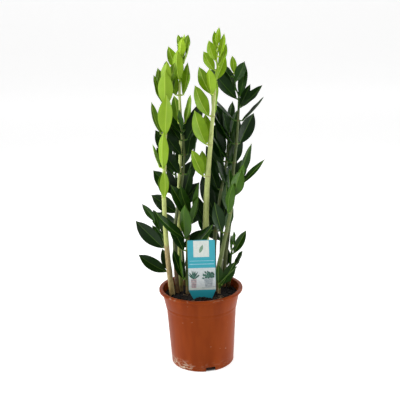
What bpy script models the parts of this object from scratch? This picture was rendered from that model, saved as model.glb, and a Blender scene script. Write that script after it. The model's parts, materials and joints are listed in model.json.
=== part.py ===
"""A potted ZZ plant: a nursery pot, its soil, a stick-in tag and eleven fronds.

Run with: blender --background --python part.py

Sizes are in millimetres and MM turns them into Blender's metres. +Z is up, the front is
towards -Y, and the origin is the middle of the pot's underside. Each frond is a stem, its
pairs of leaflets, each pair on a clasping joint, and a crown of small leaflets at the tip.
"""

import math
from collections import namedtuple
from itertools import product

import bmesh
import bpy
from mathutils import Matrix, Vector
from mathutils.bvhtree import BVHTree

MM = 0.001
WELD = 0.00001  # metres: points this near each other are one point
FIT_GAP = 0.3  # running gap between two pieces that touch
CUT_PAST = 3.0  # how far a cutter runs past what it cuts

# The pot: a moulded nursery pot, with a rolled lip, a stacking collar and a drained foot
POT_HEIGHT = 158.0
POT_RIM_RADIUS = 85.0
POT_BASE_RADIUS = 64.0
POT_WALL = 1.8
POT_SEGMENTS = 48
LIP_WIDTH = 6.0
LIP_HEIGHT = 5.0
LIP_ROUND = 1.4
LIP_ARC_POINTS = 3
COLLAR_HEIGHT = 36.0
COLLAR_TAPER = 7.2
COLLAR_STEP = 0.9
COLLAR_SLOPE = 2.0
FOOT_BEVEL = 0.6
FOOT_BEVEL_HEIGHT = 2.5
FOOT_DISC_RADIUS = 42.0
CHANNEL_HEIGHT = 10.5
DRAIN_COUNT = 3
DRAIN_TURN = -76.0  # degrees round from +X to the first drain notch
NOTCH_WIDTH = 20.0
NOTCH_ROOF = 1.3  # what is left between a notch and the channel's ceiling
DRAIN_HOLE_RADIUS = 4.5
DRAIN_HOLE_SIDES = 12

# The soil
SOIL_BELOW_RIM = 12.0
SOIL_EDGE_DROP = 3.0
SOIL_EDGE_WIDTH = 9.0
ROOTING_DEPTH = 22.0  # how deep a stem goes into the soil
PLANTING_GAP = 0.5  # between a stem and the soil round it

# The tag: a flat plastic blade with a pointed foot
TAG_WIDTH = 54.0
TAG_HEIGHT = 123.0
TAG_SHOULDER = 19.0
TAG_FOOT_WIDTH = 36.0
TAG_DEPTH = 34.0
TAG_POINT_WIDTH = 6.0
TAG_THICKNESS = 0.9
TAG_CORNER = 3.0
TAG_ARC_POINTS = 4
TAG_PLACE = (0.04, -0.516)  # on the soil, as shares of the soil's radius

# The fronds
DRAWN_ROOT_ROOM = 71.3  # the pot's inner radius, level with the stems' feet, for the routes below
STEM_POINTS = 9
STEM_TAPER = 0.8
STEM_ROUNDNESS = 2  # the bevel resolution of a stem's curve
STEM_STRAIGHT = 2.0  # a stem stands straight this far out of the soil
JOINT_HEIGHT = 3.6
JOINT_WALL = 1.7
JOINT_SIDES = 8
STALK_SEAT = 0.6  # how far inside a joint's wall a stalk's foot starts
CROWN_GAP = 0.3
CROWN_STEPS = 5
CROWN_FOOT = 0.3  # a crown leaflet's stalk starts this far from the stem's middle
STALK_RADIUS = 1.1
STALK_LENGTH = 3.5
BLADE_STATIONS = (0.10, 0.30, 0.55, 0.80)
BLADE_SKEW = 0.95  # below 1, a blade is widest nearer its stalk
BLADE_FULLNESS = 0.8  # below 1, a blade's ends are blunter
BLADE_TOP = 0.5
BLADE_BOTTOM = 0.9
BLADE_CUP = 0.22
BLADE_BOW = 0.05
BLADE_CLEARANCE = 0.6
SWING_STEP = 6
OPEN_STEP = 5
WIDEST_SWING = 60
WIDEST_OPENING = 45
LEAST_SIDE = 0.02  # below this sine, a leaflet runs along its stem and its side is +X

SIDE_SLACK = math.cos(math.pi / JOINT_SIDES)  # a flat of a ring lies this much nearer its middle
NOTCH_HEIGHT = CHANNEL_HEIGHT - NOTCH_ROOF
POT_TOP_INNER = POT_RIM_RADIUS - LIP_WIDTH - POT_WALL
SOIL_TOP = POT_HEIGHT - SOIL_BELOW_RIM
COLLAR_BOTTOM = POT_HEIGHT - LIP_HEIGHT - COLLAR_HEIGHT

Leaf = namedtuple("Leaf", "right back up width roll")
Pair = namedtuple("Pair", "height one other")
Frond = namedtuple("Frond", "name tone root_radius tip_radius crown_from route pairs crown")

# A route's points are (x, y, height above the soil). A leaf's right, back and up are how far
# its tip lies from the stem's middle where it joins; roll turns its upper face to the front.
FRONDS = (
    Frond(
        "young_left", "young", 5.8, 1.6, 376,
        [(-59, -7.5, 0), (-65, -11.5, 90), (-67, -17.5, 200), (-63, -21.5, 270),
         (-58, -23.5, 345), (-54, -24.5, 410), (-50, -24.5, 440)],
        [Pair(206, Leaf(3, -14, 56, 20, 15), Leaf(-2, 24, 46, 18, 0)),
         Pair(265, Leaf(2, -16, 72, 25, 20), Leaf(-21, 4, 46, 16, 0)),
         Pair(330, Leaf(6, -18, 76, 29, 15), Leaf(-24, 4, 62, 19, 25))],
        [(384, Leaf(2, -16, 66, 29, 0)), (386, Leaf(-21, 4, 56, 19, 35)),
         (398, Leaf(16, 8, 52, 20, 20)),
         (405, Leaf(-14, 2, 50, 20, 60)), (420, Leaf(3, -10, 46, 22, 0)),
         (426, Leaf(10, 3, 40, 18, 60)), (437, Leaf(-3, 5, 30, 14, 50))],
    ),
    Frond(
        "young_middle", "young", 5.0, 1.6, 424,
        [(-41.5, 10.5, 0), (-40.5, 15.5, 100), (-38.5, 17.5, 200), (-32.5, 17.5, 290),
         (-29.5, 16.5, 345), (-30.5, 14.5, 400), (-27.5, 14.5, 440), (-19.5, 14.5, 490)],
        [Pair(345, Leaf(20, -6, 56, 20, 50), Leaf(-12, 8, 54, 20, 60)),
         Pair(400, Leaf(18, -4, 62, 22, 50), Leaf(-18, -8, 52, 28, 70))],
        [(430, Leaf(-2, -18, 56, 24, 0)), (438, Leaf(16, 8, 50, 22, 50)), (444, Leaf(-14, 10, 52, 24, 30)),
         (460, Leaf(12, -6, 42, 20, 60)), (462, Leaf(-18, -4, 42, 24, 70)),
         (470, Leaf(2, -10, 38, 20, 10)), (472, Leaf(-4, 10, 38, 18, 20)),
         (482, Leaf(9, 4, 32, 15, 60)),
         (486, Leaf(-6, 5, 28, 12, 60)), (488, Leaf(3, -4, 26, 12, 50))],
    ),
    Frond(
        "young_centre", "young", 7.6, 1.4, 424,
        [(12.5, 6, 0), (12.5, 2, 90), (14.5, -1, 165), (17.5, -4, 215), (25.5, -5, 295),
         (32.5, -5, 360), (37.5, -5, 415), (42.5, -5, 460), (47.5, -5, 494)],
        [Pair(243, Leaf(-30, -10, 54, 25, 70), Leaf(-10, 30, 46, 20, 0)),
         Pair(305, Leaf(-29, -10, 68, 32, 75), Leaf(-8, 32, 56, 24, 0)),
         Pair(360, Leaf(-33, -8, 60, 28, 70), Leaf(10, 12, 66, 20, 60)),
         Pair(402, Leaf(-28, -4, 52, 24, 70), Leaf(-10, -16, 50, 27, 10))],
        [(430, Leaf(10, 5, 48, 19, 60)), (446, Leaf(-20, -4, 38, 20, 75)),
         (454, Leaf(12, 0, 44, 15, 60)), (464, Leaf(-15, -4, 38, 20, 70)),
         (472, Leaf(13, 0, 42, 14, 60)), (482, Leaf(-10, -2, 36, 14, 60)),
         (491, Leaf(4, 0, 34, 13, 70))],
    ),
    Frond(
        "old_right_tall", "old", 4.8, 1.6, 366,
        [(48, 29, 0), (52, 29, 60), (63, 28, 145), (72, 27, 250), (79, 27, 305), (83, 27, 355),
         (84, 27, 385), (78, 27, 412), (73, 27, 438)],
        [Pair(212, Leaf(-30, -8, 58, 24, 40), Leaf(20, 8, 54, 24, 50)),
         Pair(262, Leaf(-49, -6, 73, 22, 12), Leaf(14, 12, 52, 24, 60)),
         Pair(300, Leaf(-46, -4, 74, 24, 12), Leaf(27, 10, 64, 30, 80)),
         Pair(346, Leaf(-58, -4, 62, 22, 12), Leaf(50, -6, 46, 20, 20))],
        [(372, Leaf(46, -6, 42, 22, 45)), (375, Leaf(16, 8, 46, 16, 30)),
         (389, Leaf(-53, -8, 62, 28, 70)), (393, Leaf(13, -6, 68, 22, 60)),
         (406, Leaf(-24, 10, 48, 20, 50)),
         (422, Leaf(10, -4, 42, 22, 85)), (432, Leaf(-26, 2, 32, 12, 20)),
         (437, Leaf(0, 3, 34, 13, 60))],
    ),
    Frond(
        "right_front", "middle", 5.8, 1.6, 220,
        [(31, 4, 0), (35, 0, 40), (42, -6, 75), (48, -10, 105), (56, -13, 140), (63, -15, 172),
         (69, -16, 200), (81, -17, 238)],
        [Pair(128, Leaf(-22, -10, 66, 28, 65), Leaf(14, 14, 54, 22, 40)),
         Pair(171, Leaf(7, -12, 62, 24, 10), Leaf(-6, 12, 58, 24, 30)),
         Pair(206, Leaf(14, -12, 52, 28, 20), Leaf(-8, 12, 50, 18, 30))],
        [(226, Leaf(53, -2, 50, 14, 45)), (230, Leaf(28, 8, 76, 22, 60)),
         (235, Leaf(4, -8, 36, 18, 40))],
    ),
    Frond(
        "right_low", "middle", 3.4, 1.5, 60,
        [(58.5, 32, 0), (63.5, 31, 45), (65.5, 30, 70), (74.5, 29, 90)],
        [Pair(44, Leaf(24, -6, 34, 18, 40), Leaf(-16, 4, 44, 18, 50))],
        [(72, Leaf(30, 0, 48, 18, 60)), (78, Leaf(-4, -12, 36, 20, 40)),
         (88, Leaf(4, 12, 28, 13, 20))],
    ),
    Frond(
        "right_sprout", "middle", 3.0, 1.5, 12,
        [(36.5, -11.5, 0), (37.5, -11.5, 10), (40.5, -11.5, 22)],
        [],
        [(16, Leaf(48, -8, 60, 26, 60)), (19, Leaf(20, 2, 52, 22, 60)),
         (21, Leaf(5, 4, 40, 18, 50))],
    ),
    Frond(
        "left_low", "old", 4.0, 1.5, 112,
        [(-59.5, 25, 0), (-63.5, 23, 60), (-68.5, 19, 96), (-81.5, 17, 129), (-94.5, 15, 150)],
        [Pair(38, Leaf(-64, -6, 40, 27, 55), Leaf(-16, 16, 44, 20, 40)),
         Pair(92, Leaf(-36, -8, 76, 31, 80), Leaf(-28, 12, 44, 20, 50))],
        [(118, Leaf(4, -4, 56, 20, 60)), (130, Leaf(-10, 10, 40, 18, 60)),
         (146, Leaf(-21, -2, 40, 14, 60))],
    ),
    Frond(
        "old_left_tall", "old", 4.7, 1.8, 322,
        [(-47.5, -1, 0), (-49, 2, 35), (-50, 4, 90), (-50, 5, 120), (-44, 6, 165), (-34, 8, 215),
         (-26, 10, 265), (-25, 11, 305), (-27, 12, 336)],
        [Pair(196, Leaf(-26, -8, 60, 28, 60), Leaf(16, 4, 62, 24, 60)),
         Pair(246, Leaf(-38, -8, 52, 28, 65), Leaf(28, -2, 78, 13, 20)),
         Pair(284, Leaf(-36, -8, 56, 28, 65), Leaf(24, 6, 58, 26, 70)),
         Pair(313, Leaf(-32, -8, 54, 26, 60), Leaf(31, -6, 76, 31, 75))],
        [(327, Leaf(-20, -6, 46, 20, 60)), (331, Leaf(16, 8, 44, 20, 60)),
         (334, Leaf(-4, -6, 40, 16, 40))],
    ),
    Frond(
        "centre_middle", "middle", 4.4, 1.6, 146,
        [(-27, -4, 0), (-26, -5, 50), (-24, -6, 100), (-21, -7, 130), (-15, -6, 155),
         (-11, -5, 174)],
        [Pair(32, Leaf(-12, -10, 64, 18, 30), Leaf(-32, 4, 60, 22, 50)),
         Pair(92, Leaf(52, -18, 58, 24, 60), Leaf(-34, -2, 62, 26, 60)),
         Pair(118, Leaf(-4, -17, 74, 32, 0), Leaf(-54, -12, 78, 24, 50))],
        [(152, Leaf(15, -6, 52, 24, 40)), (158, Leaf(-38, -6, 70, 31, 65)),
         (166, Leaf(-22, 8, 60, 24, 50)), (171, Leaf(9, 6, 58, 22, 60))],
    ),
    Frond(
        "old_behind", "old", 4.8, 1.8, 300,
        [(29, 40.5, 0), (30, 40.5, 76), (38, 39.5, 151), (51, 38.5, 224), (61, 38.5, 275),
         (68, 38.5, 322)],
        [Pair(118, Leaf(-46, -2, 86, 28, 60), Leaf(28, -4, 78, 28, 60)),
         Pair(158, Leaf(-30, 8, 76, 28, 60), Leaf(24, 26, 70, 26, 50)),
         Pair(205, Leaf(-28, -6, 76, 30, 65), Leaf(22, 4, 70, 28, 60)),
         Pair(262, Leaf(-12, -10, 80, 30, 70), Leaf(18, 8, 66, 26, 60))],
        [(306, Leaf(2, -8, 62, 26, 70)), (312, Leaf(18, 8, 52, 22, 60)),
         (319, Leaf(-14, 6, 48, 20, 60))],
    ),
    Frond(
        "old_left_back", "old", 4.4, 1.7, 34,
        [(-34, 42, 0), (-36, 41, 60), (-40, 38, 130), (-44, 36, 200), (-47, 35, 270),
         (-48, 35, 330)],
        [],
        [(42, Leaf(36, 8, 56, 24, 60)), (62, Leaf(-10, 26, 58, 26, 60)),
         (84, Leaf(26, 4, 62, 28, 60)), (100, Leaf(-12, 26, 58, 26, 60)),
         (122, Leaf(-18, 16, 62, 26, 50)), (132, Leaf(32, 8, 60, 28, 60)),
         (160, Leaf(-27, -2, 60, 30, 65)), (172, Leaf(28, 10, 60, 28, 60)),
         (200, Leaf(-28, 6, 60, 30, 70)), (212, Leaf(26, 4, 64, 30, 70)),
         (240, Leaf(-25, 4, 60, 28, 65)), (250, Leaf(30, 8, 60, 30, 60)),
         (276, Leaf(-24, -2, 60, 28, 70)), (286, Leaf(26, 6, 60, 28, 65)),
         (308, Leaf(-18, 4, 56, 24, 60)), (316, Leaf(18, 2, 54, 24, 60)),
         (326, Leaf(-4, 4, 50, 20, 50))],
    ),
    Frond(
        "old_right_back", "old", 4.2, 1.7, 84,
        [(42, 50, 0), (45, 50, 80), (49, 49, 160), (56, 47, 240), (62, 46, 300), (66, 46, 345)],
        [],
        [(94, Leaf(-28, 6, 64, 26, 60)), (122, Leaf(-30, 10, 62, 28, 60)),
         (152, Leaf(-30, 12, 62, 28, 60)), (192, Leaf(-34, 8, 60, 30, 65)),
         (206, Leaf(18, 14, 62, 26, 65)), (234, Leaf(-32, 4, 62, 30, 70)),
         (250, Leaf(20, 14, 62, 28, 65)), (278, Leaf(-30, 6, 60, 28, 65)),
         (290, Leaf(20, 12, 58, 26, 60)), (314, Leaf(-24, 6, 54, 24, 60)),
         (332, Leaf(8, 10, 50, 20, 60)), (340, Leaf(-8, 8, 46, 18, 60))],
    ),
)

# Colour, roughness and metallic value of each finish
FINISHES = {
    "terracotta": ((0.40, 0.10, 0.03, 1), 0.45, 0.0),
    "peat": ((0.02, 0.014, 0.01, 1), 0.95, 0.0),
    "tag_plastic": ((0.03, 0.36, 0.50, 1), 0.35, 0.0),
    "young_leaf": ((0.28, 0.50, 0.04, 1), 0.35, 0.0),
    "middle_leaf": ((0.07, 0.20, 0.02, 1), 0.30, 0.0),
    "old_leaf": ((0.015, 0.06, 0.012, 1), 0.25, 0.0),
    "young_stem": ((0.50, 0.55, 0.22, 1), 0.5, 0.0),
    "middle_stem": ((0.22, 0.28, 0.08, 1), 0.5, 0.0),
    "old_stem": ((0.17, 0.16, 0.06, 1), 0.5, 0.0),
}


def clear_scene():
    for obj in list(bpy.data.objects):
        bpy.data.objects.remove(obj)


def new_collection(name, hidden=False):
    collection = bpy.data.collections.new(name)
    collection.hide_render = hidden
    bpy.context.scene.collection.children.link(collection)
    return collection


def make_material(name, colour, roughness, metallic):
    material = bpy.data.materials.new(name)
    material.use_nodes = True
    shader = material.node_tree.nodes["Principled BSDF"]
    shader.inputs["Base Color"].default_value = colour
    shader.inputs["Roughness"].default_value = roughness
    shader.inputs["Metallic"].default_value = metallic
    return material


def add_object(name, data, finish=None):
    """A part of the plant, in its collection, under the empty that carries them all."""
    obj = bpy.data.objects.new(name, data)
    PARTS.objects.link(obj)
    obj.parent = CARRIER
    if finish:
        data.materials.append(MATERIALS[finish])
    return obj


def add_helper(name, mesh):
    """A cutter or a joined piece: it shapes a part and isn't one itself."""
    obj = bpy.data.objects.new(name, mesh)
    HELPERS.objects.link(obj)
    obj.hide_render = True
    obj.display_type = "WIRE"
    return obj


def add_boolean(obj, other, operation):
    modifier = obj.modifiers.new(f"{operation.lower()}_{other.name}", "BOOLEAN")
    modifier.operation = operation
    modifier.object = other
    modifier.use_self = True


def mesh_of(name, bm):
    mesh = bpy.data.meshes.new(name)
    bmesh.ops.recalc_face_normals(bm, faces=bm.faces)
    bmesh.ops.triangulate(bm, faces=bm.faces)
    bm.to_mesh(mesh)
    bm.free()
    return mesh


def turned(name, profile, finish):
    """A solid turned about Z from (radius, height) points that end on the axis."""
    mesh = bpy.data.meshes.new(name)
    points = [(radius * MM, 0, height * MM) for radius, height in profile]
    mesh.from_pydata(points, [(i, i + 1) for i in range(len(points) - 1)], [])
    obj = add_object(name, mesh, finish)
    screw = obj.modifiers.new("turn", "SCREW")
    screw.steps = POT_SEGMENTS
    screw.render_steps = POT_SEGMENTS
    screw.use_merge_vertices = True
    screw.merge_threshold = WELD
    screw.use_smooth_shade = True
    return obj


def arc(middle, radius, start, end, count):
    """Points of an arc round (radius, height) middle, from start to end in degrees."""
    turns = [math.radians(start + (end - start) * i / (count - 1)) for i in range(count)]
    return [(middle[0] + radius * math.cos(t), middle[1] + radius * math.sin(t)) for t in turns]


# ---- The pot ----


def collar_radius_below():
    return POT_RIM_RADIUS - LIP_WIDTH - COLLAR_TAPER


def inner_wall():
    """The inner wall, bottom to top, as (radius, height)."""
    shoulder = collar_radius_below() - POT_WALL
    return [
        (POT_BASE_RADIUS - POT_WALL, CHANNEL_HEIGHT + POT_WALL),
        (shoulder - COLLAR_STEP, COLLAR_BOTTOM - COLLAR_SLOPE),
        (shoulder, COLLAR_BOTTOM),
        (POT_TOP_INNER, POT_HEIGHT - LIP_ROUND),
    ]


def collar_inner_radius(height):
    """The inner wall's radius at a height within the collar."""
    shoulder, top = inner_wall()[-2:]
    return shoulder[0] + (top[0] - shoulder[0]) * (height - shoulder[1]) / (top[1] - shoulder[1])


def pot_profile():
    lip_middle = POT_RIM_RADIUS - LIP_ROUND
    collar_top = POT_RIM_RADIUS - LIP_WIDTH
    upper_round = POT_HEIGHT - LIP_ROUND
    lower_round = POT_HEIGHT - LIP_HEIGHT + LIP_ROUND
    inner_lip = (POT_TOP_INNER + LIP_ROUND, upper_round)
    return [
        (0, POT_WALL),
        (FOOT_DISC_RADIUS - POT_WALL, POT_WALL),
        (FOOT_DISC_RADIUS - POT_WALL, CHANNEL_HEIGHT + POT_WALL),
        *inner_wall()[:-1],
        *arc(inner_lip, LIP_ROUND, 180, 90, LIP_ARC_POINTS),
        *arc((lip_middle, upper_round), LIP_ROUND, 90, 0, LIP_ARC_POINTS),
        *arc((lip_middle, lower_round), LIP_ROUND, 0, -90, LIP_ARC_POINTS),
        (collar_top, POT_HEIGHT - LIP_HEIGHT),
        (collar_radius_below(), COLLAR_BOTTOM),
        (collar_radius_below() - COLLAR_STEP, COLLAR_BOTTOM - COLLAR_SLOPE),
        (POT_BASE_RADIUS, FOOT_BEVEL_HEIGHT),
        (POT_BASE_RADIUS - FOOT_BEVEL, 0),
        (POT_BASE_RADIUS - POT_WALL, 0),
        (POT_BASE_RADIUS - POT_WALL, CHANNEL_HEIGHT),
        (FOOT_DISC_RADIUS, CHANNEL_HEIGHT),
        (FOOT_DISC_RADIUS, 0),
        (0, 0),
    ]


def drain_cutter():
    """A notch through the foot ring and a hole up through the channel, at each drain."""
    bm = bmesh.new()
    for i in range(DRAIN_COUNT):
        turn = Matrix.Rotation(math.radians(DRAIN_TURN + 360 * i / DRAIN_COUNT), 4, "Z")
        notch = Matrix.Translation((POT_BASE_RADIUS * MM, 0, (NOTCH_HEIGHT - CUT_PAST) / 2 * MM))
        size = (2 * (POT_WALL + CUT_PAST) * MM, NOTCH_WIDTH * MM, (NOTCH_HEIGHT + CUT_PAST) * MM)
        bmesh.ops.create_cube(bm, size=1, matrix=turn @ notch @ Matrix.Diagonal((*size, 1)))
        middle = (FOOT_DISC_RADIUS + POT_BASE_RADIUS - POT_WALL) / 2
        hole = Matrix.Translation((middle * MM, 0, (CHANNEL_HEIGHT + POT_WALL / 2) * MM))
        bmesh.ops.create_cone(
            bm, cap_ends=True, segments=DRAIN_HOLE_SIDES, radius1=DRAIN_HOLE_RADIUS * MM,
            radius2=DRAIN_HOLE_RADIUS * MM, depth=(POT_WALL + 2 * CUT_PAST) * MM,
            matrix=turn @ hole,
        )
    return add_helper("drain_cutter", mesh_of("drain_cutter", bm))


def make_pot():
    pot = turned("pot", pot_profile(), "terracotta")
    add_boolean(pot, drain_cutter(), "DIFFERENCE")
    return pot


# ---- The soil ----


def soil_profile():
    base, step, shoulder = [(radius - FIT_GAP, height) for radius, height in inner_wall()[:-1]]
    edge_height = SOIL_TOP - SOIL_EDGE_DROP
    edge_radius = collar_inner_radius(edge_height) - FIT_GAP
    well_radius = FOOT_DISC_RADIUS - POT_WALL - FIT_GAP
    channel_top = CHANNEL_HEIGHT + POT_WALL + FIT_GAP
    return [
        (0, SOIL_TOP),
        (edge_radius - SOIL_EDGE_WIDTH, SOIL_TOP),
        (edge_radius, edge_height),
        shoulder,
        step,
        (base[0], channel_top),
        (well_radius, channel_top),
        (well_radius, POT_WALL + FIT_GAP),
        (0, POT_WALL + FIT_GAP),
    ]


def tag_place():
    x, y = (share * collar_inner_radius(SOIL_TOP) for share in TAG_PLACE)
    return Vector((x, y, SOIL_TOP))


def planting_cutter(fronds):
    """A hole in the soil for each stem, and a slot for the tag."""
    bm = bmesh.new()
    for frond in fronds:
        x, y, _ = stem_root(frond)
        depth = ROOTING_DEPTH + FIT_GAP + PLANTING_GAP
        radius = (frond.root_radius + PLANTING_GAP) / SIDE_SLACK
        place = Matrix.Translation((x * MM, y * MM, SOIL_TOP * MM))
        bmesh.ops.create_cone(
            bm, cap_ends=True, segments=JOINT_SIDES, radius1=radius * MM,
            radius2=radius * MM, depth=2 * depth * MM, matrix=place,
        )
    size = (
        (TAG_FOOT_WIDTH + 2 * FIT_GAP) * MM,
        (TAG_THICKNESS + 2 * FIT_GAP) * MM,
        2 * (TAG_DEPTH + FIT_GAP) * MM,
    )
    slot = Matrix.Translation(tag_place() * MM) @ Matrix.Diagonal((*size, 1))
    bmesh.ops.create_cube(bm, size=1, matrix=slot)
    return add_helper("planting_cutter", mesh_of("planting_cutter", bm))


def make_soil(fronds):
    soil = turned("soil", soil_profile(), "peat")
    add_boolean(soil, planting_cutter(fronds), "DIFFERENCE")
    return soil


# ---- The tag ----


def make_tag():
    """The tag's outline, drawn from its foot in the soil to its rounded top corners."""
    half = TAG_WIDTH / 2
    top = TAG_HEIGHT - TAG_CORNER
    outline = [
        (-TAG_POINT_WIDTH / 2, -TAG_DEPTH),
        (TAG_POINT_WIDTH / 2, -TAG_DEPTH),
        (TAG_FOOT_WIDTH / 2, 0),
        (half, TAG_SHOULDER),
        *arc((half - TAG_CORNER, top), TAG_CORNER, 0, 90, TAG_ARC_POINTS),
        *arc((-half + TAG_CORNER, top), TAG_CORNER, 90, 180, TAG_ARC_POINTS),
        (-half, TAG_SHOULDER),
        (-TAG_FOOT_WIDTH / 2, 0),
    ]
    curve = bpy.data.curves.new("plant_tag", "CURVE")
    curve.dimensions = "2D"
    curve.fill_mode = "BOTH"
    curve.extrude = TAG_THICKNESS / 2 * MM
    spline = curve.splines.new("POLY")
    spline.points.add(len(outline) - 1)
    spline.use_cyclic_u = True
    for point, (x, z) in zip(spline.points, outline):
        point.co = (x * MM, z * MM, 0, 1)
    tag = add_object("plant_tag", curve, "tag_plastic")
    tag.location = tag_place() * MM
    tag.rotation_euler = (math.pi / 2, 0, 0)
    return tag


# ---- The stems ----


def stem_root(frond):
    """Where the stem enters the soil. It moves in or out with the pot, to stay inside it."""
    x, y, _ = frond.route[0]
    share = collar_inner_radius(SOIL_TOP - ROOTING_DEPTH) / DRAWN_ROOT_ROOM
    return Vector((x * share, y * share, SOIL_TOP))


def stem_point(frond, height):
    """The stem's middle at a height above the soil, on a smooth curve through its route."""
    root = stem_root(frond)
    shift = root - Vector((frond.route[0][0], frond.route[0][1], 0))
    points = [Vector(point) + shift for point in frond.route]
    heights = [point[2] for point in frond.route]
    i = max(k for k in range(len(points) - 1) if heights[k] <= max(height, 0))
    ahead = points[min(i + 2, len(points) - 1)]
    behind = points[max(i - 1, 0)]
    span = heights[i + 1] - heights[i]
    t = (height - heights[i]) / span
    rise_one = (points[i + 1] - behind) / (points[i + 1].z - behind.z) * span
    rise_two = (ahead - points[i]) / (ahead.z - points[i].z) * span
    return (
        points[i] * (2 * t**3 - 3 * t**2 + 1)
        + rise_one * (t**3 - 2 * t**2 + t)
        + points[i + 1] * (3 * t**2 - 2 * t**3)
        + rise_two * (t**3 - t**2)
    )


def stem_direction(frond, height):
    return (stem_point(frond, height + 1) - stem_point(frond, height - 1)).normalized()


def stem_radius(frond, height):
    share = min(max(height / frond.route[-1][2], 0), 1)
    return frond.tip_radius + (frond.root_radius - frond.tip_radius) * (1 - share) ** STEM_TAPER


def tube_mesh(name, points):
    """A closed tube through (middle, radius) points, as a mesh."""
    curve = bpy.data.curves.new(name, "CURVE")
    curve.dimensions = "3D"
    curve.use_fill_caps = True
    curve.bevel_depth = MM
    curve.bevel_resolution = STEM_ROUNDNESS
    spline = curve.splines.new("POLY")
    spline.points.add(len(points) - 1)
    for point, (middle, radius) in zip(spline.points, points):
        point.co = (*(middle * MM), 1)
        point.radius = radius
    guide = bpy.data.objects.new(name, curve)
    HELPERS.objects.link(guide)
    mesh = bpy.data.meshes.new_from_object(guide.evaluated_get(fresh_graph()))
    bpy.data.objects.remove(guide)
    bm = bmesh.new()
    bm.from_mesh(mesh)
    bmesh.ops.remove_doubles(bm, verts=bm.verts, dist=WELD)
    bm.to_mesh(mesh)
    bm.free()
    return mesh


def fresh_graph():
    bpy.context.view_layer.update()
    return bpy.context.evaluated_depsgraph_get()


def stem_heights(frond):
    """Where a stem has its points: at even steps, and at both ends of each joint round it."""
    rise = (frond.crown_from - CROWN_GAP - STEM_STRAIGHT) / (STEM_POINTS - 1)
    even = [STEM_STRAIGHT + rise * i for i in range(STEM_POINTS)]
    joints = [pair.height for pair in frond.pairs]
    clear = [height for height in even if all(abs(height - at) > JOINT_HEIGHT for at in joints)]
    return sorted(clear + [at + end * JOINT_HEIGHT / 2 for at in joints for end in (-1, 1)])


def make_stem(frond):
    root = stem_root(frond)
    points = [
        (root - Vector((0, 0, ROOTING_DEPTH)), frond.root_radius),
        (root + Vector((0, 0, STEM_STRAIGHT)), frond.root_radius),
    ]
    for height in stem_heights(frond)[1:]:
        points.append((stem_point(frond, height), stem_radius(frond, height)))
    mesh = tube_mesh(f"{frond.name}_stem", points)
    return add_object(f"{frond.name}_stem", mesh, f"{frond.tone}_stem")


# ---- The leaflets ----


def outline_share(t):
    """A leaflet's half width along its blade, as a share of the widest."""
    return math.sin(math.pi * t**BLADE_SKEW) ** BLADE_FULLNESS


def leaf_axes(reach, along_stem, roll):
    """Unit vectors across the blade and out of its upper face."""
    chord = reach.normalized()
    side = along_stem.cross(chord)
    side = side.normalized() if side.length > LEAST_SIDE else Vector((1, 0, 0))
    face = chord.cross(side).normalized()
    front = side if side.y < 0 else -side
    turn = math.radians(roll)
    face = (face * math.cos(turn) + front * math.sin(turn)).normalized()
    return face.cross(chord), face


def leaf_rings(start, outward, reach, leaf, along_stem, extra=0.0):
    """Four-cornered rings along a leaflet and its tip, in millimetres.

    start is the stalk's foot, outward its direction there, and reach the way to the tip. extra
    thickens and widens the blade all round.
    """
    side, face = leaf_axes(reach, along_stem, leaf.roll)
    bend = reach.rotation_difference(outward)
    across, up = bend @ side, bend @ face
    stalk_end = start + outward * STALK_LENGTH
    blade = reach - outward * STALK_LENGTH
    length = blade.length

    def middle(t):
        return stalk_end + blade * t - face * (BLADE_BOW * length * math.sin(math.pi * t))

    rings = [
        [start + across * STALK_RADIUS, start + up * STALK_RADIUS,
         start - across * STALK_RADIUS, start - up * STALK_RADIUS],
        [stalk_end + side * STALK_RADIUS, stalk_end + face * STALK_RADIUS,
         stalk_end - side * STALK_RADIUS, stalk_end - face * STALK_RADIUS],
    ]
    for t in BLADE_STATIONS:
        half = leaf.width / 2 * outline_share(t) + extra
        lift = face * (BLADE_CUP * half)
        rings.append([
            middle(t) + side * half + lift,
            middle(t) + face * (BLADE_TOP + extra),
            middle(t) - side * half + lift,
            middle(t) - face * (BLADE_BOTTOM + extra),
        ])
    return rings, middle(1) + blade.normalized() * extra


def loft(rings, tip=None):
    """The vertices and faces of a closed loft through rings of the same count."""
    count = len(rings[0])
    points = [point for ring in rings for point in ring]
    faces = [
        (a * count + i, a * count + (i + 1) % count, (a + 1) * count + (i + 1) % count,
         (a + 1) * count + i)
        for a in range(len(rings) - 1)
        for i in range(count)
    ]
    if tip:
        last = (len(rings) - 1) * count
        faces += [(last + i, last + (i + 1) % count, len(points)) for i in range(count)]
        faces.append(tuple(reversed(range(count))))
        points.append(tip)
    return points, faces


def add_faces(bm, points, faces):
    made = [bm.verts.new(point * MM) for point in points]
    for face in faces:
        bm.faces.new([made[i] for i in face])


def nudges():
    """Small turns round the stem and away from it, in degrees, the smallest first."""
    swings = range(-WIDEST_SWING, WIDEST_SWING + 1, SWING_STEP)
    openings = range(-OPEN_STEP, WIDEST_OPENING + 1, OPEN_STEP)
    return sorted(product(swings, openings), key=lambda n: (abs(n[0]) + abs(n[1]), n))


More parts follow.
